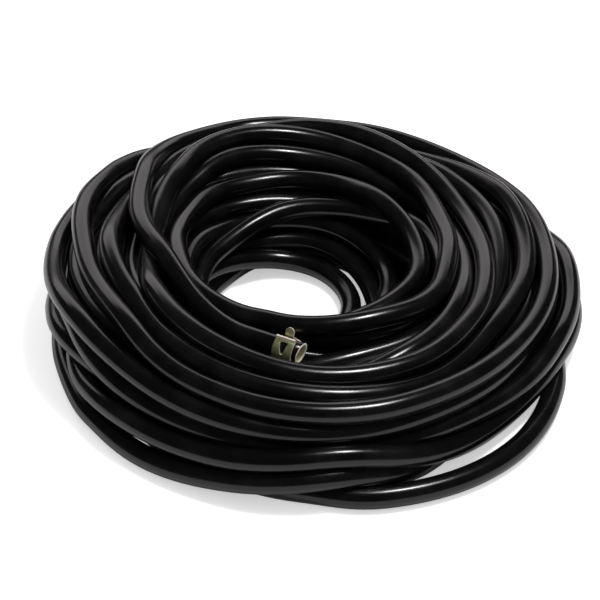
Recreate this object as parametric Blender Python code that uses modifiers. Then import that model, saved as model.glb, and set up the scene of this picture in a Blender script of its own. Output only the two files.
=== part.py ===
"""Long smooth hose wound into a floor coil, with a spring band clamp on its upper end.

The hose is one tube: a wound pile of turns, a free tail that lies on the pile and ends
in the clamp, and the short starting end under the back of the pile.  Metres, +Z up,
the coil rests on Z = 0 and its bounding box is centred on the Z axis.
"""
from math import cos, degrees, pi, radians, sin

import bmesh
import bpy
import numpy as np
from mathutils import Matrix, Vector

# ---------------------------------------------------------------- driving dimensions
HOSE_DIAMETER = 0.0127
HOSE_WALL = 0.0016           # leaves a 9.5 mm bore
PART_GAP = 0.0003            # left between pieces that touch
LAYER_PITCH = 1.13 * HOSE_DIAMETER
FLAT_DEPTH = 0.1 * HOSE_DIAMETER   # cut off the lowest turns, where they rest
LOWEST_AXIS = 0.5 * HOSE_DIAMETER - FLAT_DEPTH
POINTS_PER_TURN = 24

# The pile: turns in each stretch, then radius and centre reached (hose diameters).
START_AZIMUTH = 142.0        # degrees
START_RADIUS, START_CENTRE = 12.10, (0.60, -0.60)
STRETCHES = (
    (1.00, 9.60, (-0.10, 0.20)),   # loose outer turn on the floor
    (4.20, 5.05, (-0.20, 0.30)),   # first layer, inward
    (6.25, 12.05, (-0.30, 0.35)),  # second layer, outward
    (5.40, 5.10, (-0.50, 1.20)),   # third layer, inward
    (1.20, 6.40, (-0.50, 1.20)),   # top layer, outward to the tail
)
REVERSALS = (5.20, 11.45, 16.85)   # turn numbers where the pile climbs a layer
PILE_SHIFT = (0.1853, -0.1952)     # centres the bounding box on the Z axis

# The tail: plan points and height of its axis above the lowest one (hose diameters).
TAIL_POINTS = (
    (-7.35, 0.40, 3.40), (-7.15, -0.85, 3.41), (-6.65, -2.00, 3.43), (-5.90, -3.00, 3.46),
    (-4.95, -3.90, 3.50), (-3.93, -4.70, 3.55),
)
TAIL_END = (-0.29, -6.85, 3.60)
TAIL_HEADING = -28.5         # degrees, the way its straight end points
TAIL_STRAIGHT = 3.0          # hose diameters kept straight for the clamp
TAIL_CUT_TILT = 7.5          # degrees, the hand-cut end leans back at the bottom
START_LENGTH = 2.0 * HOSE_DIAMETER

# The clamp: angles run round the hose from the side that faces outward, over the top.
BAND_WIDTH = 0.0126
BAND_THICKNESS = 0.0010
BAND_STEP = 7.5              # degrees between facets
BAND_INNER_RADIUS = (HOSE_DIAMETER / 2 + PART_GAP) / cos(radians(BAND_STEP / 2))
BAND_RADIUS = BAND_INNER_RADIUS + BAND_THICKNESS / 2
CLAMP_SETBACK = 0.0089       # clamp centre from the end of the hose
SPLIT_ANGLE = -90.0          # the two halves meet under the hose
LIP_ANGLE, LIP_BEND, LIP_HEIGHT = 71.0, 0.0011, 0.0012
EAR_ANGLE, EAR_BEND, EAR_HEIGHT = 117.0, 0.0012, 0.0044
EAR_WIDTH = 0.0046
TAPER_ANGLES = (158.0, 132.0)      # where the band narrows into the tongue
WINDOW_ANGLES = (22.0, 60.0)       # narrow lower end and wide upper end
WINDOW_WIDTHS = (0.0018, 0.0042)


# ---------------------------------------------------------------- scene helpers
def clear_scene():
    for item in list(bpy.data.objects):
        bpy.data.objects.remove(item, do_unlink=True)


def collection(name):
    group = bpy.data.collections.new(name)
    bpy.context.scene.collection.children.link(group)
    return group


def material(name, colour, roughness, metallic=0.0):
    made = bpy.data.materials.new(name)
    made.use_nodes = True
    shader = made.node_tree.nodes["Principled BSDF"]
    shader.inputs["Base Color"].default_value = (*colour, 1.0)
    shader.inputs["Roughness"].default_value = roughness
    shader.inputs["Metallic"].default_value = metallic
    return made


def add_object(name, mesh, group, skin=None):
    made = bpy.data.objects.new(name, mesh)
    group.objects.link(made)
    if skin:
        mesh.materials.append(skin)
    return made


def box_object(name, size, matrix, group):
    """Box with its centre at the matrix's origin."""
    form = bmesh.new()
    bmesh.ops.create_cube(form, size=1.0)
    bmesh.ops.scale(form, vec=size, verts=form.verts)
    mesh = bpy.data.meshes.new(name)
    form.to_mesh(mesh)
    form.free()
    made = add_object(name, mesh, group)
    made.matrix_world = matrix
    return made


def cut(target, cutter):
    """Take the cutter out of the target and keep the cutter hidden."""
    cutter.hide_render = True
    cutter.display_type = "WIRE"
    step = target.modifiers.new("cut_" + cutter.name, "BOOLEAN")
    step.operation = "DIFFERENCE"
    step.solver = "EXACT"
    step.object = cutter


def tube_object(name, points, sides_level, hollow):
    """The hose along the points: solid with flat end caps, or hollow and open at both ends."""
    curve = bpy.data.curves.new(name + "_path", "CURVE")
    curve.dimensions = "3D"
    curve.twist_mode = "Z_UP"
    curve.resolution_u = 1
    curve.bevel_depth = HOSE_DIAMETER / 2
    curve.bevel_resolution = sides_level
    curve.use_fill_caps = not hollow
    line = curve.splines.new("POLY")
    line.points.add(len(points) - 1)
    for point, place in zip(line.points, points):
        point.co = (*place, 1.0)
    holder = bpy.data.objects.new(name + "_path", curve)
    parts.objects.link(holder)
    view = bpy.context.evaluated_depsgraph_get()
    mesh = bpy.data.meshes.new_from_object(holder.evaluated_get(view))
    mesh.transform(holder.matrix_world)
    bpy.data.objects.remove(holder, do_unlink=True)
    form = bmesh.new()
    form.from_mesh(mesh)
    bmesh.ops.remove_doubles(form, verts=form.verts, dist=1e-5)
    bmesh.ops.recalc_face_normals(form, faces=form.faces)
    form.to_mesh(mesh)
    form.free()
    mesh.name = name
    mesh.materials.clear()
    made = add_object(name, mesh, parts, black)
    if hollow:
        wall = made.modifiers.new("wall", "SOLIDIFY")
        wall.thickness = HOSE_WALL
        wall.offset = -1.0
        wall.use_even_offset = True
    return made


# ---------------------------------------------------------------- the hose's route
def ease(share):
    share = min(1.0, max(0.0, share))
    return share * share * (3.0 - 2.0 * share)


def pile_point(turn):
    """Centreline point of the pile, so many turns after its start."""
    radius, centre = START_RADIUS, START_CENTRE
    begun = 0.0
    for turns, next_radius, next_centre in STRETCHES:
        share = (turn - begun) / turns
        if share <= 1.0 or begun + turns >= PILE_TURNS:
            radius += (next_radius - radius) * share
            centre = [a + (b - a) * share for a, b in zip(centre, next_centre)]
            break
        radius, centre = next_radius, next_centre
        begun += turns
    climbed = sum(ease((turn - reversal + 0.25) / 0.5) for reversal in REVERSALS)
    azimuth = radians(START_AZIMUTH) + 2.0 * pi * turn
    lift = FLAT_DEPTH * (1.0 - ease(turn / 0.08))
    return np.array((
        HOSE_DIAMETER * (centre[0] + PILE_SHIFT[0] + radius * cos(azimuth)),
        HOSE_DIAMETER * (centre[1] + PILE_SHIFT[1] + radius * sin(azimuth)),
        LOWEST_AXIS + LAYER_PITCH * climbed + lift,
    ))


def unit(vector):
    return vector / np.linalg.norm(vector)


def smooth_line(points, step):
    """Points about `step` apart along a centripetal Catmull-Rom curve through the given ones."""
    given = np.asarray(points, float)
    given = np.vstack((2 * given[0] - given[1], given, 2 * given[-1] - given[-2]))
    dense = []
    for four in zip(given, given[1:], given[2:], given[3:]):
        knots = [0.0]
        for before, after in zip(four, four[1:]):
            knots.append(knots[-1] + np.linalg.norm(after - before) ** 0.5)
        for place in np.linspace(knots[1], knots[2], 16, endpoint=False):
            row, width = list(four), 1
            while len(row) > 1:
                row = [
                    ((knots[i + width] - place) * row[i] + (place - knots[i]) * row[i + 1])
                    / (knots[i + width] - knots[i]) if width < 3 else
                    ((knots[2] - place) * row[i] + (place - knots[1]) * row[i + 1])
                    / (knots[2] - knots[1])
                    for i in range(len(row) - 1)
                ]
                width += 1
            dense.append(row[0])
    dense.append(given[-2])
    dense = np.array(dense)
    run = np.concatenate(([0.0], np.cumsum(np.linalg.norm(np.diff(dense, axis=0), axis=1))))
    count = max(2, round(run[-1] / step))
    marks = np.linspace(0.0, run[-1], count + 1)
    return np.column_stack([np.interp(marks, run, dense[:, axis]) for axis in range(3)])


def least_gap(points, diameter):
    """Least gap between stretches of the tube more than half a turn apart along it."""
    steps = np.linspace(0.0, 1.0, 4, endpoint=False)[:, None]
    fine = np.vstack([a + (b - a) * steps for a, b in zip(points, points[1:])])
    skip = 4 * POINTS_PER_TURN // 2
    least = 1.0
    for index in range(len(fine) - skip):
        apart = np.linalg.norm(fine[index + skip:] - fine[index], axis=1)
        least = min(least, float(apart.min()))
    return least - diameter


PILE_TURNS = sum(turns for turns, _, _ in STRETCHES)
count = round(PILE_TURNS * POINTS_PER_TURN)
pile = np.array([pile_point(PILE_TURNS * i / count) for i in range(count + 1)])
start_way = unit((pile[0] - pile_point(0.001)) * (1, 1, 0))
tail_way = unit((pile[-1] - pile_point(PILE_TURNS - 0.001)) * (1, 1, 0))
pile = np.vstack((pile[0] + start_way * HOSE_DIAMETER, pile, pile[-1] + tail_way * HOSE_DIAMETER))

heading = radians(TAIL_HEADING)
end_way = np.array((cos(heading), sin(heading), 0.0))
shift = np.array((*PILE_SHIFT, 0.0))
tail_end = (np.array(TAIL_END) + shift) * HOSE_DIAMETER + (0, 0, LOWEST_AXIS)
tail_start = pile[-1] + tail_way * PART_GAP
tail_turned = [(np.array(place) + shift) * HOSE_DIAMETER + (0, 0, LOWEST_AXIS)
               for place in TAIL_POINTS]
straight_start = tail_end - end_way * TAIL_STRAIGHT * HOSE_DIAMETER
bent = smooth_line([tail_start + tail_way * HOSE_DIAMETER, *tail_turned, straight_start],
                   1.3 * HOSE_DIAMETER)
tail = np.vstack((tail_start, bent, tail_end))

first_end = pile[0] + start_way * PART_GAP
start = np.array((first_end, first_end + start_way * START_LENGTH))

print("pile turns:", round(PILE_TURNS, 2))
print("least gap of the wound hose to itself, mm:",
      round(1000 * least_gap(pile, HOSE_DIAMETER), 3))
print("hose length, m:", round(sum(
    float(np.linalg.norm(np.diff(run, axis=0), axis=1).sum()) for run in (start, pile, tail)), 3))

# ---------------------------------------------------------------- build
clear_scene()
parts = collection("coiled_hose")
cutters = collection("cutters")
black = material("hose_black", (0.012, 0.011, 0.012), 0.18)
zinc = material("zinc_yellow", (0.42, 0.40, 0.22), 0.32, 1.0)

coil_object = tube_object("hose_coil", pile, 1, False)
floor_size = 4 * START_RADIUS * HOSE_DIAMETER
floor_box = box_object("floor_cut", (floor_size, floor_size, HOSE_DIAMETER),
                       Matrix.Translation((0, 0, -HOSE_DIAMETER / 2)), cutters)
cut(coil_object, floor_box)

# the tail is made longer than its end and cut back along the tilted plane
overrun = tail_end + end_way * 0.4 * HOSE_DIAMETER
tail_object = tube_object("hose_tail", np.vstack((tail[:-1], overrun)), 4, True)
end_frame = (Matrix.Translation(Vector(tail_end)) @ Matrix.Rotation(heading, 4, "Z")
             @ Matrix.Rotation(radians(TAIL_CUT_TILT), 4, "Y"))
end_cut_size = 2 * HOSE_DIAMETER
end_box = box_object("end_cut", [end_cut_size] * 3,
                     end_frame @ Matrix.Translation((end_cut_size / 2, 0, 0)), cutters)
cut(tail_object, end_box)

start_object = tube_object("hose_start", start, 4, True)


# ---------------------------------------------------------------- the clamp
def band_path(first, last, bend, height):
    """Mid-line of a half band in its cross-section, its end bent up away from the hose.

    Returns points, outward normals and the angle round the hose of each.
    """
    turn = 1.0 if last > first else -1.0
    facets = round(abs(last - first) / BAND_STEP)
    rows = []
    for index in range(facets + 1):
        angle = radians(first + (last - first) * index / facets)
        normal = np.array((cos(angle), sin(angle)))
        rows.append((normal * BAND_RADIUS, normal, degrees(angle)))
    foot, normal, angle = rows[-1]
    along = turn * np.array((-normal[1], normal[0]))
    for bent_by in (22.5, 45.0, 67.5, 85.0):
        lean = radians(bent_by)
        place = foot + bend * (normal * (1 - cos(lean)) + along * sin(lean))
        rows.append((place, normal * cos(lean) - along * sin(lean), angle))
    rising = along * cos(lean) + normal * sin(lean)
    for share in (0.35, 0.7, 0.85, 0.95, 1.0):
        rows.append((place + rising * height * share, rows[-1][1], angle))
    return rows


def band_object(name, rows, widths, skin):
    """Strip of sheet metal through the rows, each as wide as given."""
    form = bmesh.new()
    rings = []
    for (place, normal, _), width in zip(rows, widths):
        inner = place - normal * BAND_THICKNESS / 2
        outer = place + normal * BAND_THICKNESS / 2
        ring = [form.verts.new((x, -side[0], side[1])) for side, x in (
            (inner, -width / 2), (inner, width / 2), (outer, width / 2), (outer, -width / 2))]
        rings.append(ring)
    for before, after in zip(rings, rings[1:]):
        for i in range(4):
            form.faces.new((before[i], before[(i + 1) % 4], after[(i + 1) % 4], after[i]))
    form.faces.new(rings[0][::-1])
    form.faces.new(rings[-1])
    bmesh.ops.recalc_face_normals(form, faces=form.faces)
    mesh = bpy.data.meshes.new(name)
    form.to_mesh(mesh)
    form.free()
    return add_object(name, mesh, parts, skin)


clamp_centre = tail_end - end_way * CLAMP_SETBACK
clamp_frame = Matrix.Translation(Vector(clamp_centre)) @ Matrix.Rotation(heading, 4, "Z")
split = degrees(PART_GAP / 2 / BAND_RADIUS)

window_rows = band_path(SPLIT_ANGLE + split, LIP_ANGLE, LIP_BEND, LIP_HEIGHT)
window_half = band_object("clamp_window_half", window_rows, [BAND_WIDTH] * len(window_rows), zinc)
window_half.matrix_world = clamp_frame

tongue_rows = band_path(SPLIT_ANGLE + 360.0 - split, EAR_ANGLE, EAR_BEND, EAR_HEIGHT)
tongue_widths = []
for index, (_, _, angle) in enumerate(tongue_rows):
    share = ease((TAPER_ANGLES[0] - angle) / (TAPER_ANGLES[0] - TAPER_ANGLES[1]))
    tongue_widths.append(BAND_WIDTH + (EAR_WIDTH - BAND_WIDTH) * share)
for back, share in ((3, 0.92), (2, 0.7), (1, 0.4)):
    tongue_widths[-back] = EAR_WIDTH * share
tongue_half = band_object("clamp_tongue_half", tongue_rows, tongue_widths, zinc)
# the tongue half turns about the line where the halves meet under the hose
hinge_drop = Vector((0, 0, -BAND_RADIUS))
tongue_half.data.transform(Matrix.Translation(-hinge_drop))
tongue_half.matrix_world = clamp_frame @ Matrix.Translation(hinge_drop)

# tapered window through the band below its lip
window_form = bmesh.new()
ring_sets = []
for radius in (BAND_RADIUS - 0.002, BAND_RADIUS + 0.002):
    ring = []
    for angle, width in zip(WINDOW_ANGLES, WINDOW_WIDTHS):
        turned = radians(angle)
        for side in ((-1, 1) if angle == WINDOW_ANGLES[0] else (1, -1)):
            ring.append(window_form.verts.new(
                (side * width / 2, -radius * cos(turned), radius * sin(turned))))
    ring_sets.append(ring)
window_form.faces.new(ring_sets[0])
window_form.faces.new(ring_sets[1][::-1])
for i in range(4):
    j = (i + 1) % 4
    window_form.faces.new((ring_sets[0][i], ring_sets[1][i], ring_sets[1][j], ring_sets[0][j]))
bmesh.ops.recalc_face_normals(window_form, faces=window_form.faces)
window_mesh = bpy.data.meshes.new("window_cut")
window_form.to_mesh(window_mesh)
window_form.free()
window_cutter = add_object("window_cut", window_mesh, cutters)
window_cutter.matrix_world = clamp_frame
cut(window_half, window_cutter)
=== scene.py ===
"""Looks of the coiled hose: the settled pile, its clamp, floor, light and camera."""
from math import ceil, cos, degrees, hypot, pi, radians, sin, tan

import bmesh
import bpy
import numpy as np
from mathutils import Matrix, Vector


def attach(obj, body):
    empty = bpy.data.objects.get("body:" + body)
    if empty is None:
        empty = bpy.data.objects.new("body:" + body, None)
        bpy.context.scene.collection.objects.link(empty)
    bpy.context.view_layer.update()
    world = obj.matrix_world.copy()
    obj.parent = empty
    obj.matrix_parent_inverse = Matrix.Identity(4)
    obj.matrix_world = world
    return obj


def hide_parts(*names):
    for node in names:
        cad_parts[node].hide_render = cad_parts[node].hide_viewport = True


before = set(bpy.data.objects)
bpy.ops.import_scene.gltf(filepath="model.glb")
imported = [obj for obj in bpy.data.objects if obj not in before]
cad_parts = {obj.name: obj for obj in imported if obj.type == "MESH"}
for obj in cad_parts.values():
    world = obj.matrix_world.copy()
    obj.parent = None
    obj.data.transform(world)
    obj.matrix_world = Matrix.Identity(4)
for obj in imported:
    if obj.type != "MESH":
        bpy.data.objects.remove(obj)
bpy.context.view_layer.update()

# ---------------------------------------------------------------- shared sizes
# The first three and the lights are in metres; routes are in hose diameters.
D = 0.0127                      # hose diameter
WALL = 0.0016
SHIFT = np.array((0.1853, -0.1952, 0.0))        # from the route's origin to the part's
TAIL_END = np.array((-0.29, -6.85, 4.0))        # the clamped end, on top
HEADING = radians(-28.5)                        # the way it points
WAY = np.array((cos(HEADING), sin(HEADING), 0.0))
TAIL_STRAIGHT = 3.0
CUT_TILT, CUT_TURN = radians(8), radians(3)
START_END = np.array((-7.07, 9.23, 0.5))        # the other end, on the floor
START_JOIN = np.array((-8.94, 6.85, 0.5))       # where its straight stretch stops
CLAMP_SETBACK = 0.0084 / D                      # from the clamp's middle to the hose's end

FLOOR_LIFT = 0.5
ROOM_LIGHT, ROOM_REFLECTED = 0.58, 0.03
# Each light: the way to it, how far off it is, its size, radiance and colour unless white.
OVERHEAD = ((0.26, -0.07, 0.95), 1.3, (0.36, 0.30), 12.0)
LAMP = ((0.26, -0.05, 0.95), 1.29, (0.15, 0.13), 75.0)
REAR_PANEL = ((-0.1, 0.86, 0.50), 1.8, (2.6, 0.8), 1.3, (1.0, 0.95, 0.97))

# ---------------------------------------------------------------- the pile as laid
SPACING = 0.6                   # between the points that settle
FINE_TURN = 2 * pi / 720        # between the points of the laid route
# The loose outer turns on the floor: azimuth in degrees and radius.
FLOOR_TURNS = (
    (142, 11.26), (148, 11.27), (162, 10.9), (182, 10.1), (215, 9.9), (238, 10.6),
    (252, 11.0), (268, 11.6), (278, 12.1), (291, 12.6), (307, 12.8), (317, 12.7),
    (326, 12.45), (343, 11.8), (360, 11.4), (405, 11.2), (450, 11.7), (480, 12.4),
    (492, 12.7), (505, 12.5), (518, 11.9), (540, 11.1), (560, 10.9), (575, 11.4),
    (590, 11.8), (609, 12.0), (630, 12.1), (645, 11.8), (660, 10.9), (675, 10.0),
    (690, 9.8), (705, 9.9), (735, 9.9), (780, 9.9),
)
# Each layer: turns, then inner and outer radii at azimuths 0, 45 ... 315 degrees.
LAYERS = (
    (2.9, (2.5, 3.6, 6.0, 7.3, 7.0, 5.3, 3.4, 2.5),
     (9.8, 9.9, 10.4, 9.9, 9.2, 9.2, 10.2, 9.6)),
    (8.2, (3.2, 4.3, 6.4, 7.2, 6.7, 5.6, 4.0, 3.4),
     (11.0, 12.1, 12.2, 11.4, 10.3, 10.2, 11.3, 9.9)),
    (7.0, (4.4, 5.6, 7.0, 7.2, 6.4, 5.5, 4.4, 4.2),
     (11.5, 12.5, 12.3, 11.9, 10.9, 11.0, 11.7, 10.4)),
    (7.2, (5.1, 6.4, 7.4, 7.3, 6.2, 5.6, 4.7, 4.7),
     (11.6, 12.5, 12.3, 12.2, 11.4, 11.0, 11.4, 10.8)),
    (3.8, (5.6, 6.8, 7.8, 7.5, 6.2, 5.6, 5.1, 5.3),
     (11.6, 12.5, 12.3, 12.2, 11.4, 10.9, 11.6, 11.4)),
)
# The upper turns, laid from the photo: radii every 30 degrees from azimuth 60, one
# turn to a row, ending where the tail runs straight.
UPPER_FROM, UPPER_STEP = 60, 30
UPPER_RADII = (
    5.9, 6.2, 6.5, 6.1, 5.4, 5.4, 5.0, 4.6, 4.4, 4.6, 5.3, 5.8,
    6.7, 8.3, 8.4, 7.3, 6.2, 5.9, 5.6, 5.4, 5.7, 6.5, 6.7, 7.3,
    9.0, 10.4, 10.1, 8.4, 8.0, 7.9, 8.5, 8.9, 8.9, 8.5, 8.1, 8.7,
    10.1, 11.5, 11.0, 9.5, 9.0, 8.6, 9.3, 9.8, 9.7, 9.0, 10.1, 11.3,
    12.0, 12.2, 12.4, 11.7, 10.2, 9.5, 10.1, 10.7, 10.6, 10.6, 11.2, 11.9,
    12.3, 12.5, 11.9, 9.4, 7.1,
)
# How firmly each stretch keeps its laid place: the straight ends, the floor turns, the
# layers, the upper turns and the bend into the tail.
FIRM_END, FIRM_FLOOR, FIRM_LAYER, FIRM_UPPER, FIRM_LEAD = 0.3, 0.35, 0.03, 0.10, 1.5
# Heights they are laid at: first and last for the floor turns and for the upper turns; for
# the layers the lowest, with the rise from layer to layer and within one.
FLOOR_HEIGHTS, UPPER_HEIGHTS = (0.5, 1.6), (5.8, 12.0)
LAYER_FOOT, LAYER_RISE, LAYER_CLIMB = 0.6, 1.05, 0.1
DROP = 8.0                      # the tail is let down from this height above its place
SEED, WANDER = 3, 0.25          # the turns of a layer wander off their even spacing
WANDER_WAVES = 8
WANDER_OVER, JOINED_OVER = 0.6, 0.8     # turns over which the wander and a join run in
JOIN_BACK = 35                  # points that fix the slope where the upper turns begin


def closed_radii(values, azimuth):
    """Smooth closed curve through radii given at even azimuths."""
    values = np.asarray(values)
    place = np.asarray(azimuth) / (2 * pi) * len(values)
    index = np.floor(place).astype(int)
    t = place - index
    a, b, c, d = (values[(index + k) % len(values)] for k in (-1, 0, 1, 2))
    return b + 0.5 * t * (c - a + t * (2 * a - 5 * b + 4 * c - d + t * (3 * (b - c) + d - a)))


def curve_weights(t):
    """Weights of a smooth stretch's first place, first slope, last place and last slope."""
    return (1 + 2 * t) * (1 - t) ** 2, t * (1 - t) ** 2, t * t * (3 - 2 * t), t * t * (t - 1)


def open_curve(xs, ys, x):
    """Smooth curve through the points (xs, ys)."""
    xs, ys = np.asarray(xs, float), np.asarray(ys, float)
    slope = np.gradient(ys, xs)
    i = np.clip(np.searchsorted(xs, x, "right") - 1, 0, len(xs) - 2)
    h = xs[i + 1] - xs[i]
    a, b, c, d = curve_weights((x - xs[i]) / h)
    return a * ys[i] + b * h * slope[i] + c * ys[i + 1] + d * h * slope[i + 1]


def run_along(points):
    """Distance along the points from the first one to each."""
    return np.concatenate(([0], np.cumsum(np.linalg.norm(np.diff(points, axis=0), axis=1))))


def turn_rows(azimuth, radius, low, high, firm):
    """Rows of places and firmness round the pile, climbing evenly from low to high."""
    share = np.linspace(0, 1, len(azimuth))
    return np.column_stack((radius * np.cos(azimuth), radius * np.sin(azimuth),
                            low + (high - low) * share, np.full(len(azimuth), firm)))


def straight_rows(first, last, share, firm):
    """Rows of places and firmness on a straight line."""
    return np.column_stack((first + (last - first) * share, np.full(len(share), firm)))


def wandered(azimuth, rng):
    """Slow waves of several lengths round the azimuth."""
    sizes = rng.normal(0, WANDER / 1.6, WANDER_WAVES)
    phases = rng.uniform(0, 2 * pi, WANDER_WAVES)
    return sum(size * np.sin((0.35 + 0.27 * k) * azimuth + phase)
               for k, (size, phase) in enumerate(zip(sizes, phases)))


def laid_route():
    """Where the hose is laid before it settles: points, and how firmly each keeps its place."""
    rng = np.random.default_rng(SEED)
    line = np.linspace(0, 1, 60)[:, None]
    rows = [straight_rows(START_END, START_JOIN, line[:-1], FIRM_END)]
    floor = np.radians([a for a, _ in FLOOR_TURNS])
    azimuth = np.arange(floor[0], floor[-1], FINE_TURN)
    radius = open_curve(floor, [r for _, r in FLOOR_TURNS], azimuth)
    rows.append(turn_rows(azimuth, radius, *FLOOR_HEIGHTS, FIRM_FLOOR))
    begun, last_radius = floor[-1], FLOOR_TURNS[-1][1]
    for level, (turns, inner, outer) in enumerate(LAYERS):
        azimuth = np.arange(begun, begun + 2 * pi * turns, FINE_TURN)
        share = (azimuth - begun) / (2 * pi * turns)
        outward = share if level % 2 else 1 - share
        wander = wandered(azimuth - begun, rng)
        radius = (closed_radii(inner, azimuth) * (1 - outward)
                  + closed_radii(outer, azimuth) * outward)
        radius += wander * np.clip(share * turns / WANDER_OVER, 0, 1)
        # it goes on from where the turns before it stopped
        radius += (last_radius - radius[0]) * np.clip(1 - share * turns / JOINED_OVER, 0, 1) ** 2
        last_radius = radius[-1]
        low = LAYER_FOOT + LAYER_RISE * level
        rows.append(turn_rows(azimuth, radius, low, low + LAYER_CLIMB, FIRM_LAYER))
        begun = azimuth[-1]
    # the upper turns start where the last layer stops
    upper = np.radians(UPPER_FROM + UPPER_STEP * np.arange(len(UPPER_RADII)))
    upper += ceil((begun - upper[0]) / (2 * pi) - 0.15) * 2 * pi
    later = upper > begun + 0.35
    last = [hypot(*rows[-1][k, :2]) for k in (-JOIN_BACK, -1)]
    azimuth = np.arange(begun, upper[-1], FINE_TURN)
    radius = open_curve(
        np.concatenate(((begun - JOIN_BACK * FINE_TURN, begun), upper[later])),
        np.concatenate((last, np.array(UPPER_RADII)[later])), azimuth)
    rows.append(turn_rows(azimuth, radius, *UPPER_HEIGHTS, FIRM_UPPER))
    # and run into the straight tail
    foot, back = rows[-1][-1, :3], TAIL_END - WAY * TAIL_STRAIGHT
    going = rows[-1][-1, :2] - rows[-1][-8, :2]
    going /= np.linalg.norm(going)
    reach = np.linalg.norm(back[:2] - foot[:2])
    t = np.linspace(0, 1, int(reach / 0.05))[1:-1, None]
    a, b, c, d = curve_weights(t)
    plan = a * foot[:2] + b * reach * going + c * back[:2] + d * reach * WAY[:2]
    height = foot[2] + (back[2] + DROP - foot[2]) * t
    rows.append(np.column_stack((plan, height, np.full(len(plan), FIRM_LEAD))))
    tail = back + (TAIL_END - back) * line + (0, 0, DROP)
    rows.append(np.column_stack((tail, np.full(len(tail), FIRM_END))))
    route = np.vstack(rows)
    run = run_along(route[:, :2])
    marks = np.linspace(0, run[-1], int(run[-1] / SPACING) + 1)
    return np.column_stack([np.interp(marks, run, route[:, k]) for k in range(4)]), marks


# ---------------------------------------------------------------- the pile as it settles
STEPS, PASSES, FALL = 380, 4, 0.05
FIRMNESS = 0.35                 # of the pull to the laid place
LANDED, FIRM_CLAMP, AT_REST = 0.55, 0.85, 0.9   # shares of the steps
STRAND_REACH = 1.5              # strands nearer than this are looked at for a few steps
APART = 5                       # points of one strand that don't push each other
SUNK, LIFTED = 0.85, 0.05       # a strand that sinks so far into another is lifted by this
PRESSED, REACH = 5.3, 13.1      # how high and how far out a strand's middle can lie
LID_FROM, LID_SLOPE = 10.5, 0.45        # the pile is lower toward its outside
FLOOR_REST = 0.5                # height of a strand's middle on the floor
CLAMP_ROOM = 1.18               # kept free from the clamp's middle to the middle of a strand
CLAMP_REACH = (-1.65, 1.6, 3.0)         # of that room: back, forward, and with its nose
OWN_STRETCH = 7.0               # the end of the hose that the clamp is on
LEVELLED = 11                   # points over which the tail comes down to its end
BEND_LIMIT, LAST_BEND_LIMIT = radians(9.0), radians(11.0)       # between points


def close_pairs(points, reach, apart):
    """Index pairs closer than reach, and more than `apart` points apart along the hose."""
    cell = np.floor(points / reach).astype(np.int64)
    cell -= cell.min(0) - 1
    size = cell.max(0) + 2
    key = (cell[:, 0] * size[1] + cell[:, 1]) * size[2] + cell[:, 2]
    order = np.argsort(key, kind="stable")
    ordered = key[order]
    found = []
    for x in (0, 1):
        for y in (-1, 0, 1):
            for z in (-1, 0, 1):
                if (x, y, z) < (0, 0, 0):
                    continue
                other = key + (x * size[1] + y) * size[2] + z
                low = np.searchsorted(ordered, other, "left")
                many = np.searchsorted(ordered, other, "right") - low
                i = np.repeat(np.arange(len(points)), many)
                first = np.repeat(np.cumsum(many) - many, many)
                j = order[np.repeat(low, many) + np.arange(len(i)) - first]
                keep = np.abs(i - j) > apart
                if (x, y, z) == (0, 0, 0):
                    keep &= i < j
                i, j = i[keep], j[keep]
                keep = ((points[i] - points[j]) ** 2).sum(1) < reach * reach
                found.append((i[keep], j[keep]))
    return tuple(np.concatenate([pair[k] for pair in found]) for k in (0, 1))


def unit_rows(vectors):
    """The vectors at length 1."""
    return vectors / np.linalg.norm(vectors, axis=1)[:, None]


def ease_bends(points, free, limit):
    """Straighten the hose a little wherever it bends by more than the limit between points."""
    ways = unit_rows(np.diff(points, axis=0))
    bends = np.arccos(np.clip((ways[1:] * ways[:-1]).sum(1), -1, 1))
    tight = np.zeros(len(points))
    tight[1:-1] = np.clip((bends - limit) / (0.3 * limit), 0, 1)
    for _ in range(4):
        tight[1:-1] = np.maximum(tight[1:-1], 0.9 * np.maximum(tight[2:], tight[:-2]))
    pull = (0.5 * tight * free)[1:-1, None]
    for _ in range(6):
        points[1:-1] += pull * (0.5 * (points[2:] + points[:-2]) - points[1:-1])


def parting_moves(points, near):
    """How far each point moves to part the strands that press into each other."""
    i, j = near
    between = points[i] - points[j]
    length = np.sqrt((between ** 2).sum(1))
    hit = length < 1.0
    i, j, between, length = i[hit], j[hit], between[hit], length[hit]
    push = ((1.0 - length) / np.maximum(length, 1e-6) * 0.5)[:, None] * between
    # where two strands sink into each other the later one is lifted
    push[:, 2] += np.where(length < SUNK, LIFTED, 0.0) * np.sign(i - j)
    total = len(points)
    count = np.bincount(i, minlength=total) + np.bincount(j, minlength=total)
    return np.stack([np.bincount(i, push[:, k], total) - np.bincount(j, push[:, k], total)
                     for k in range(3)], axis=1) / np.maximum(1, count * 0.5)[:, None]


def evened(points, plan, part):
    """The points with what they depart from the plan by evened out along the hose."""
    bend = points.copy()
    bend[:, :2] -= plan
    eased = bend.copy()
    eased[1:-1] += part * (0.5 * (bend[2:] + bend[:-2]) - bend[1:-1])
    eased[:, :2] += plan
    return eased


def clamp_rooms():
    """Balls kept free wherever the clamp can slide to, narrowing to a nose ahead of it."""
    middle = TAIL_END - WAY * CLAMP_SETBACK
    back, forward, nose = CLAMP_REACH
    return [(middle + WAY * s, CLAMP_ROOM * (1 - max(0.0, (s - forward) / forward) ** 2) ** 0.5)
            for s in np.arange(back, nose, 0.25)]


def clear_clamp(points, movable, rooms, above, part, less=0.0):
    """Move strands out of the clamp's rooms while the tail is held above its place."""
    for centre, room in rooms:
        room = room - less
        away = points - centre - (0, 0, above)
        far = np.sqrt((away ** 2).sum(1))
        close = (far < room) & movable
        points[close] += away[close] * ((room - far[close]) / far[close])[:, None] * part


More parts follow.
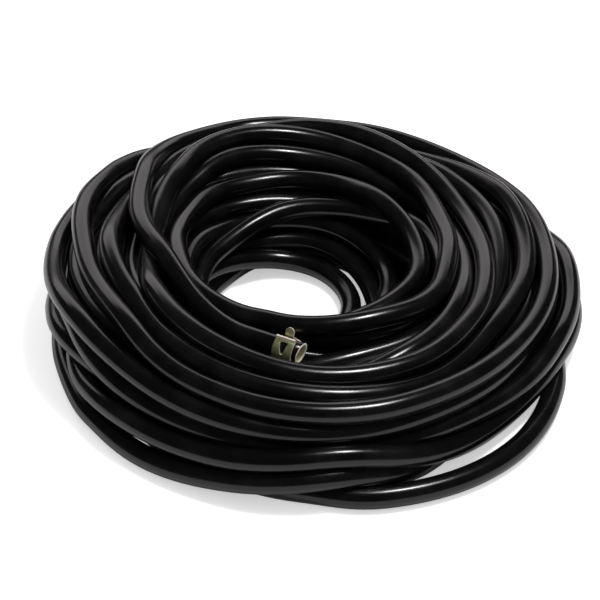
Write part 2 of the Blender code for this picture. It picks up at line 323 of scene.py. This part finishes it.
def level_tail(points, last):
    """The tail comes down to its straight end, from `last` on, in an even curve."""
    first = last - LEVELLED
    high, low = points[first, 2], points[last, 2]
    slope = (high - points[first - 2, 2]) / 2 * LEVELLED
    a, b, c, _ = curve_weights(np.arange(LEVELLED) / LEVELLED)
    points[first:last, 2] = a * high + b * slope + c * low


def settled_route():
    """The laid hose let down under its weight, each strand kept off the others."""
    laid, marks = laid_route()
    points, plan, firm = laid[:, :3].copy(), laid[:, :2].copy(), laid[:, 3] * FIRMNESS
    held_tail = marks > marks[-1] - TAIL_STRAIGHT - 0.01
    held_start = marks < np.linalg.norm(START_JOIN - START_END)
    free = ~(held_tail | held_start)
    movable = free & (marks < marks[-1] - OWN_STRETCH)
    rooms = clamp_rooms()
    rest_height = points[held_tail, 2] - DROP
    for step in range(STEPS):
        share = step / STEPS
        points[free, 2] -= FALL * float(np.interp(share, (0, 0.7, 0.85, 1), (1, 1, 0.3, 0.05)))
        above = DROP * max(0.0, 1.0 - share / LANDED)
        points[held_tail, 2] = rest_height + above
        if step % 6 == 0:
            near = close_pairs(points, STRAND_REACH, APART)
        # toward the end the strands mostly part, and keep less to their plan
        keep, passes = (1.0, PASSES) if share < AT_REST else (0.25, 2 * PASSES)
        for _ in range(passes):
            move = parting_moves(points, near)
            points[free] += move[free] * 0.9
            clear_clamp(points, movable, rooms, above, 0.5 if share < FIRM_CLAMP else 1.0)
            for _ in range(2):
                points[free] = evened(points, plan, 0.4 * keep)[free]
            points[free, :2] += keep * firm[free, None] * (plan - points[:, :2])[free]
            # the pile is pressed flat, and the press comes down with the tail
            out = np.hypot(*points[:, :2].T)
            lid = PRESSED - LID_SLOPE * np.maximum(0.0, out - LID_FROM) + 1.2 * above
            points[:, 2] = np.clip(points[:, 2], FLOOR_REST, lid)
            points[:, :2] *= np.minimum(1, REACH / out)[:, None]
        ease_bends(points, free, BEND_LIMIT)
    last = len(points) - np.count_nonzero(held_tail)
    level_tail(points, last)
    # two points of the straight end share the bend into it
    free[last:last + 2] = True
    for _ in range(3):
        ease_bends(points, free, LAST_BEND_LIMIT)
        clear_clamp(points, movable, rooms, 0.0, 1.0, 0.05)
    return points


# ---------------------------------------------------------------- small helpers
def add_object(name, mesh, *skins):
    """New object in the scene, with the materials given."""
    made = bpy.data.objects.new(name, mesh)
    bpy.context.scene.collection.objects.link(made)
    for skin in skins:
        mesh.materials.append(skin)
    return made


def new_material(name):
    """Material with its node tree, its Principled shader and a helper that adds nodes."""
    made = bpy.data.materials.new(name)
    made.use_nodes = True
    tree = made.node_tree
    shader = tree.nodes["Principled BSDF"]

    def node(kind, **settings):
        new = tree.nodes.new(kind)
        for key, value in settings.items():
            if key in new.inputs:
                new.inputs[key].default_value = value
            else:
                setattr(new, key, value)
        return new

    return made, shader, node, tree.links.new


def mixed(node, link, factor, first, second):
    """Colour that goes from first to second as factor goes from 0 to 1."""
    mix = node("ShaderNodeMix", data_type="RGBA")
    link(factor, mix.inputs[0])
    for socket, colour in ((6, first), (7, second)):
        if isinstance(colour, tuple):
            mix.inputs[socket].default_value = (*colour, 1.0)
        else:
            link(colour, mix.inputs[socket])
    return mix.outputs[2]


def spread(node, link, value, low, high, to_low, to_high):
    """Value mapped from one range to another and held inside it."""
    ranged = node("ShaderNodeMapRange")
    for index, number in ((1, low), (2, high), (3, to_low), (4, to_high)):
        ranged.inputs[index].default_value = number
    link(value, ranged.inputs[0])
    return ranged.outputs[0]


# ---------------------------------------------------------------- materials
def black_rubber():
    """Glossy black cover with faint lines from its extrusion and a little dust."""
    made, shader, node, link = new_material("black_rubber")
    along = node("ShaderNodeUVMap", uv_map="hose_uv")
    lines = node("ShaderNodeMapping")
    lines.inputs["Scale"].default_value = (1.2, 34.0, 1.0)
    link(along.outputs[0], lines.inputs[0])
    streaks = node("ShaderNodeTexNoise", Scale=1.0, Detail=3.0, Roughness=0.6)
    link(lines.outputs[0], streaks.inputs["Vector"])
    place = node("ShaderNodeTexCoord")
    dust = node("ShaderNodeTexNoise", Scale=38.0, Detail=5.0, Roughness=0.65)
    link(place.outputs["Object"], dust.inputs["Vector"])
    dusty = spread(node, link, dust.outputs[0], 0.45, 0.75, 0.0, 1.0)
    link(mixed(node, link, dusty, (0.0022, 0.0020, 0.0021), (0.008, 0.0072, 0.0072)),
         shader.inputs["Base Color"])
    rough = node("ShaderNodeMath", operation="ADD")
    link(spread(node, link, streaks.outputs[0], 0.3, 0.7, 0.15, 0.21), rough.inputs[0])
    link(spread(node, link, dust.outputs[0], 0.4, 0.8, 0.0, 0.08), rough.inputs[1])
    link(rough.outputs[0], shader.inputs["Roughness"])
    bump = node("ShaderNodeBump", Strength=0.05, Distance=0.0004)
    link(streaks.outputs[0], bump.inputs["Height"])
    link(bump.outputs[0], shader.inputs["Normal"])
    shader.inputs["IOR"].default_value = 1.5
    return made


def cream_rubber(name, light, deep, roughness):
    """Cream inner layer, a little uneven in colour."""
    made, shader, node, link = new_material(name)
    place = node("ShaderNodeTexCoord")
    patches = node("ShaderNodeTexNoise", Scale=420.0, Detail=4.0, Roughness=0.6)
    link(place.outputs["Object"], patches.inputs["Vector"])
    patchy = spread(node, link, patches.outputs[0], 0.4, 0.72, 0.0, 1.0)
    link(mixed(node, link, patchy, light, deep), shader.inputs["Base Color"])
    bump = node("ShaderNodeBump", Strength=0.25, Distance=0.0002)
    link(patches.outputs[0], bump.inputs["Height"])
    link(bump.outputs[0], shader.inputs["Normal"])
    shader.inputs["Roughness"].default_value = roughness
    shader.inputs["Subsurface Weight"].default_value = 0.15
    shader.inputs["Subsurface Radius"].default_value = (0.002, 0.0015, 0.001)
    return made


def yellow_zinc():
    """Spring steel with a yellow passivated zinc coat: olive and straw, slightly iridescent."""
    made, shader, node, link = new_material("yellow_zinc")
    place = node("ShaderNodeTexCoord")
    clouds = node("ShaderNodeTexNoise", Scale=170.0, Detail=4.0, Roughness=0.6, Distortion=0.8)
    grain = node("ShaderNodeTexNoise", Scale=1500.0, Detail=2.0)
    for texture in (clouds, grain):
        link(place.outputs["Object"], texture.inputs["Vector"])
    tint = mixed(node, link, spread(node, link, clouds.outputs[0], 0.38, 0.62, 0.0, 1.0),
                 (0.34, 0.40, 0.17), (0.55, 0.54, 0.30))
    tint = mixed(node, link, spread(node, link, clouds.outputs[0], 0.62, 0.8, 0.0, 0.7),
                 tint, (0.70, 0.56, 0.42))
    link(tint, shader.inputs["Base Color"])
    shader.inputs["Metallic"].default_value = 0.8
    link(spread(node, link, grain.outputs[0], 0.3, 0.7, 0.30, 0.44), shader.inputs["Roughness"])
    bump = node("ShaderNodeBump", Strength=0.12, Distance=0.0002)
    link(grain.outputs[0], bump.inputs["Height"])
    link(bump.outputs[0], shader.inputs["Normal"])
    return made


def plain(name, colour, roughness):
    """Material of one colour."""
    made, shader, _, _ = new_material(name)
    shader.inputs["Base Color"].default_value = (*colour, 1.0)
    shader.inputs["Roughness"].default_value = roughness
    return made


def white_floor():
    """Matt white floor, lifted to pure white where the camera sees it unshadowed."""
    made, shader, node, link = new_material("white_floor")
    shader.inputs["Base Color"].default_value = (0.88, 0.88, 0.88, 1.0)
    shader.inputs["Roughness"].default_value = 0.7
    ray = node("ShaderNodeLightPath")
    lift = node("ShaderNodeMath", operation="MULTIPLY")
    lift.inputs[1].default_value = FLOOR_LIFT
    link(ray.outputs["Is Camera Ray"], lift.inputs[0])
    shader.inputs["Emission Color"].default_value = (1.0, 1.0, 1.0, 1.0)
    link(lift.outputs[0], shader.inputs["Emission Strength"])
    return made


# ---------------------------------------------------------------- the hose
RING_SIDES = 18
RING_STEP = 0.45                # hose diameters between rings
BORE_DEPTH = 4.0                # how far the open bore is modelled at each end, in diameters
RIM_CROWN = 0.00025             # how far the cut wall stands proud between its edges
RIM_ROWS = ((0.0, 0.0), (0.10, -0.6), (0.5, -1.0), (0.88, -0.7), (1.0, 0.0))


def smooth_through(points, step):
    """Evenly spaced points on a smooth curve through the given ones."""
    run = run_along(points)
    marks = np.linspace(0, run[-1], int(round(run[-1] / step)) + 1)
    return np.column_stack([open_curve(run, points[:, k], marks) for k in range(3)])


def cut_back(ring, centre, way):
    """The clamped end is cut askew by hand: it leans back at the bottom and on the near side."""
    across = np.cross(way, (0, 0, 1))
    return way * ((ring - centre)[:, 2] * tan(CUT_TILT)
                  - (ring - centre) @ across * tan(CUT_TURN))[:, None]


def hose_object(route, skins):
    """One tube of black cover along the route, with a cream wall and bore open at both ends; the
    bore's cream is painted darker as shade.
    """
    ways = unit_rows(np.gradient(route, axis=0))
    sides = np.zeros_like(ways)
    side = np.cross(ways[0], (0, 0, 1))
    for index, way in enumerate(ways):
        side = side - way * side.dot(way)
        side /= np.linalg.norm(side)
        sides[index] = side
    ups = np.cross(sides, ways)
    run = run_along(route)
    turn = np.arange(RING_SIDES) * 2 * pi / RING_SIDES

    def rings(indices, radius):
        ring = (np.cos(turn)[None, :, None] * sides[indices, None]
                + np.sin(turn)[None, :, None] * ups[indices, None])
        return route[indices, None] + radius * ring

    outer = rings(np.arange(len(route)), D / 2)
    outer[-1] += cut_back(outer[-1], route[-1], ways[-1])
    form = bmesh.new()
    uv = form.loops.layers.uv.new("hose_uv")

    def skin_over(points, marks, slot):
        rows = [[form.verts.new(p) for p in ring] for ring in points]
        for k, (before, after) in enumerate(zip(rows, rows[1:])):
            for i in range(RING_SIDES):
                j = (i + 1) % RING_SIDES
                face = form.faces.new((before[i], before[j], after[j], after[i]))
                face.smooth = True
                face.material_index = slot
                corners = ((k, i), (k, i + 1), (k + 1, i + 1), (k + 1, i))
                for loop, (row, side) in zip(face.loops, corners):
                    loop[uv].uv = (marks[row], side / RING_SIDES)
        return rows

    skin_over(outer, run, 0)
    deep = int(BORE_DEPTH / RING_STEP)
    for end, inward in ((0, 1), (len(route) - 1, -1)):
        indices = end + inward * np.arange(deep)
        bore = rings(indices, D / 2 - WALL)
        if end:
            bore[0] += cut_back(bore[0], route[end], ways[end])
        rim = outer[end]
        crown = ways[end] * inward * RIM_CROWN
        wall = np.stack([rim + (bore[0] - rim) * share + crown * lift for share, lift in RIM_ROWS])
        marks = np.arange(len(wall)) * 0.0005
        skin_over(wall, marks, 1)
        # the bore wall takes the painted shade, and a painted-shadow disc closes its far end
        skin_over(bore, run[indices], 2)
        form.faces.new([form.verts.new(p) for p in bore[-1]]).material_index = 3
    bmesh.ops.remove_doubles(form, verts=form.verts, dist=1e-6)
    bmesh.ops.recalc_face_normals(form, faces=form.faces)
    mesh = bpy.data.meshes.new("hose")
    form.to_mesh(mesh)
    form.free()
    return add_object("hose", mesh, *skins)


def shown_route():
    """The settled route in the row frame, in metres, with its ends exactly in place."""
    settled = settled_route()
    settled[0], settled[-1] = START_END, TAIL_END
    return (smooth_through(settled, RING_STEP) + SHIFT) * D


rubber = black_rubber()
cream = cream_rubber("cream_rubber", (0.97, 0.93, 0.82), (0.88, 0.82, 0.68), 0.5)
# The bore's wall is the same cream layer, painted darker and more olive as the shade deep inside
# the bore; bore_shadow is a painted-shadow disc that closes the bore at its modelled depth.
painted_shade_bore = cream_rubber("cream_bore_painted_shade", (0.66, 0.58, 0.33), (0.50, 0.43, 0.22), 0.45)
dark = plain("bore_shadow", (0.03, 0.026, 0.012), 0.8)
route = shown_route()
hose = hose_object(route, (rubber, cream, painted_shade_bore, dark))
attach(hose, "hose")
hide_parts("hose_coil", "hose_tail", "hose_start")
print("hose length, m:", round(float(run_along(route)[-1]), 2))


# ---------------------------------------------------------------- the clamp
# Angles are in degrees round the hose from its near side over its top; sizes are in metres.
BAND_WIDTH, BAND_THICKNESS = 0.0116, 0.0009
BAND_ROOM = 0.00035             # between the hose and the band
BAND_RADIUS = D / 2 + BAND_ROOM + BAND_THICKNESS / 2
FACET = 3.0
SPLIT_ANGLE, SPLIT_GAP = -90.0, 0.0003
LIP_ANGLE, LIP_BEND, LIP_HEIGHT = 74.0, 0.0010, 0.0010
EAR_ANGLE, EAR_BEND, EAR_HEIGHT = 117.0, 0.0012, 0.0044
EAR_WIDTH = 0.0052
TAPER_ANGLES = (170.0, 146.0)
WINDOW_ANGLES, WINDOW_WIDTHS = (10.0, 68.0), (0.0018, 0.0050)
EDGE_ROUND, SHARP_EDGE = 0.0002, radians(35)
BEND_ROWS, RISE_ROWS = 11, 24   # rows of points in a bent-up end and in the flat part past it


def ease(share):
    """Smooth step from 0 to 1."""
    share = min(1.0, max(0.0, share))
    return share * share * (3 - 2 * share)


def band_rows(first, last, bend, height):
    """Mid-line of half the band in cross-section: points, outward normals and angles."""
    turn = 1.0 if last > first else -1.0
    rows = []
    for angle in np.radians(np.linspace(first, last, round(abs(last - first) / FACET) + 1)):
        normal = np.array((cos(angle), sin(angle)))
        rows.append((normal * BAND_RADIUS, normal, degrees(angle)))
    foot, normal, angle = rows[-1]
    along = turn * np.array((-normal[1], normal[0]))
    for lean in np.radians(np.linspace(10, 85, BEND_ROWS)):
        place = foot + bend * (normal * (1 - cos(lean)) + along * sin(lean))
        rows.append((place, normal * cos(lean) - along * sin(lean), angle))
    rising = along * cos(lean) + normal * sin(lean)
    for share in np.arange(1, RISE_ROWS + 1) / RISE_ROWS:
        rows.append((place + rising * height * share, rows[-1][1], angle))
    return rows


def band_object(name, rows, widths, *skins, painted_highlight_from=None):
    """Strip of sheet metal through the rows, each as wide as given; its cut edges, and all its
    faces from row painted_highlight_from on, take the second material, a painted highlight.
    """
    form = bmesh.new()
    rings = []
    for (place, normal, _), width in zip(rows, widths):
        corners = ((-1, -1), (-1, 1), (1, 1), (1, -1))
        ring = []
        for out, across in corners:
            side = place + out * normal * BAND_THICKNESS / 2
            ring.append(form.verts.new((across * width / 2, -side[0], side[1])))
        rings.append(ring)
    for index, (before, after) in enumerate(zip(rings, rings[1:])):
        for i in range(4):
            side = form.faces.new((before[i], before[(i + 1) % 4], after[(i + 1) % 4], after[i]))
            # the cut edges, and every face from painted_highlight_from on, carry the painted
            # highlight
            side.material_index = 1 if painted_highlight_from and index >= painted_highlight_from else i % 2
    form.faces.new(rings[0][::-1])
    form.faces.new(rings[-1]).material_index = 1
    bmesh.ops.recalc_face_normals(form, faces=form.faces)
    mesh = bpy.data.meshes.new(name)
    form.to_mesh(mesh)
    form.free()
    return add_object(name, mesh, *skins)


def window_cutter(*skins):
    """Teardrop window, narrow at its lower end, as a wedge through the band."""
    form = bmesh.new()
    outline = []
    # the lower end is round, the upper one nearly flat
    for end, width, up, flat in zip(WINDOW_ANGLES, WINDOW_WIDTHS, (-1, 1), (1.0, 0.45)):
        half = width / 2
        rise = degrees(half / BAND_RADIUS) * flat
        for step in np.linspace(0, pi, 13):
            outline.append((end - up * rise + rise * sin(step) * up, half * cos(step) * up))
    rings = []
    for radius in (BAND_RADIUS - 0.0015, BAND_RADIUS + 0.0015):
        rings.append([form.verts.new((across, -radius * cos(radians(a)), radius * sin(radians(a))))
                      for a, across in outline])
    form.faces.new(rings[0])
    form.faces.new(rings[1][::-1])
    for i in range(len(outline)):
        j = (i + 1) % len(outline)
        form.faces.new((rings[0][i], rings[1][i], rings[1][j], rings[0][j]))
    bmesh.ops.triangulate(form, faces=[f for f in form.faces if len(f.verts) > 4])
    bmesh.ops.recalc_face_normals(form, faces=form.faces)
    # the window's rim, cut by these faces, takes the painted highlight
    for face in form.faces:
        face.material_index = 1
    mesh = bpy.data.meshes.new("window_cutter")
    form.to_mesh(mesh)
    form.free()
    return add_object("window_cutter", mesh, *skins)


def applied(made, modifiers):
    """Give the object the modifiers and keep only their result."""
    for kind, settings in modifiers:
        step = made.modifiers.new(kind.lower(), kind)
        for key, value in settings.items():
            setattr(step, key, value)
    view = bpy.context.evaluated_depsgraph_get()
    mesh = bpy.data.meshes.new_from_object(made.evaluated_get(view))
    made.modifiers.clear()
    made.data = mesh
    for face in mesh.polygons:
        face.use_smooth = True
    mesh.set_sharp_from_angle(angle=SHARP_EDGE)


zinc = yellow_zinc()
# Pale cream with a little metal: a painted highlight on the band's cut edges, its window rim and
# its bent-up lip.
painted_highlight_edge = plain("painted_highlight_edge", (0.88, 0.78, 0.63), 0.35)
painted_highlight_edge.node_tree.nodes["Principled BSDF"].inputs["Metallic"].default_value = 0.3
clamp_middle = (TAIL_END + SHIFT) * D - WAY * CLAMP_SETBACK * D
clamp_frame = Matrix.Translation(Vector(clamp_middle)) @ Matrix.Rotation(HEADING, 4, "Z")
rounded = ("BEVEL", dict(width=EDGE_ROUND, segments=3, limit_method="ANGLE",
                         angle_limit=radians(40)))

# the half with the window, from the split under the hose up its near side to the lip
split = degrees(SPLIT_GAP / 2 / BAND_RADIUS)
lip_rows = band_rows(SPLIT_ANGLE + split, LIP_ANGLE, LIP_BEND, LIP_HEIGHT)
window_half = band_object("band_with_window", lip_rows, [BAND_WIDTH] * len(lip_rows),
                          zinc, painted_highlight_edge,
                          painted_highlight_from=len(lip_rows) - RISE_ROWS - BEND_ROWS + 2)
cutter = window_cutter(zinc, painted_highlight_edge)
opened = ("BOOLEAN", dict(operation="DIFFERENCE", solver="EXACT", object=cutter))
applied(window_half, (opened, rounded))
bpy.data.objects.remove(cutter, do_unlink=True)
window_half.data.transform(clamp_frame)
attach(window_half, "clamp")
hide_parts("clamp_window_half")

# the half with the tongue, from the split up the far side to the ear
ear_rows = band_rows(SPLIT_ANGLE + 360 - split, EAR_ANGLE, EAR_BEND, EAR_HEIGHT)
ear_widths = []
for index, (_, _, angle) in enumerate(ear_rows):
    share = ease((TAPER_ANGLES[0] - angle) / (TAPER_ANGLES[0] - TAPER_ANGLES[1]))
    width = BAND_WIDTH + (EAR_WIDTH - BAND_WIDTH) * share
    # the ear's end is round
    left = (len(ear_rows) - 1 - index) * EAR_HEIGHT / RISE_ROWS
    if left < EAR_WIDTH / 2:
        width = EAR_WIDTH * max(0.12, (1 - (1 - left / (EAR_WIDTH / 2)) ** 2)) ** 0.5
    ear_widths.append(width)
tongue_half = band_object("band_with_tongue", ear_rows, ear_widths, zinc, painted_highlight_edge)
applied(tongue_half, (rounded,))
tongue_half.data.transform(clamp_frame)
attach(tongue_half, "clamp_tongue")
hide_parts("clamp_tongue_half")

# ---------------------------------------------------------------- floor, light, camera
TARGET = Vector((-0.139, -0.157, 2.0)) * D      # what the camera and the lights face
CAMERA_RISE, CAMERA_REACH = radians(35), 80.0 * D
LENS, SENSOR = 102.24, 36.0                     # millimetres

floor_mesh = bpy.data.meshes.new("floor")
floor_form = bmesh.new()
bmesh.ops.create_grid(floor_form, x_segments=1, y_segments=1, size=3.0)
floor_form.to_mesh(floor_mesh)
floor_form.free()
floor = add_object("floor", floor_mesh, white_floor())

world = bpy.data.worlds.new("studio")
world.use_nodes = True
background = world.node_tree.nodes["Background"]
background.inputs[0].default_value = (1.0, 1.0, 1.0, 1.0)
# the room lights softly but is dark where the glossy rubber reflects it
ray = world.node_tree.nodes.new("ShaderNodeLightPath")
strength = world.node_tree.nodes.new("ShaderNodeMapRange")
strength.inputs[3].default_value, strength.inputs[4].default_value = ROOM_LIGHT, ROOM_REFLECTED
world.node_tree.links.new(ray.outputs["Is Glossy Ray"], strength.inputs[0])
world.node_tree.links.new(strength.outputs[0], background.inputs[1])
bpy.context.scene.world = world


def soft_light(name, way, reach, size, radiance, colour=(1, 1, 1)):
    """Rectangular light of the given radiance, facing the object from the given way."""
    light = bpy.data.lights.new(name, "AREA")
    light.shape = "RECTANGLE"
    light.size, light.size_y = size
    light.energy = radiance * pi * size[0] * size[1]
    light.color = colour
    made = bpy.data.objects.new(name, light)
    bpy.context.scene.collection.objects.link(made)
    way = Vector(way).normalized()
    made.location = TARGET + way * reach
    made.rotation_euler = way.to_track_quat("Z", "Y").to_euler()
    return made


soft_light("overhead", *OVERHEAD)
soft_light("lamp", *LAMP)
soft_light("rear_panel", *REAR_PANEL)

camera = bpy.data.objects.new("camera", bpy.data.cameras.new("camera"))
bpy.context.scene.collection.objects.link(camera)
camera.data.lens, camera.data.sensor_width = LENS, SENSOR
view_way = Vector((0, -cos(CAMERA_RISE), sin(CAMERA_RISE)))
camera.location = TARGET + view_way * CAMERA_REACH
camera.rotation_euler = view_way.to_track_quat("Z", "Y").to_euler()
bpy.context.scene.camera = camera
bpy.context.scene.view_settings.view_transform = "Standard"
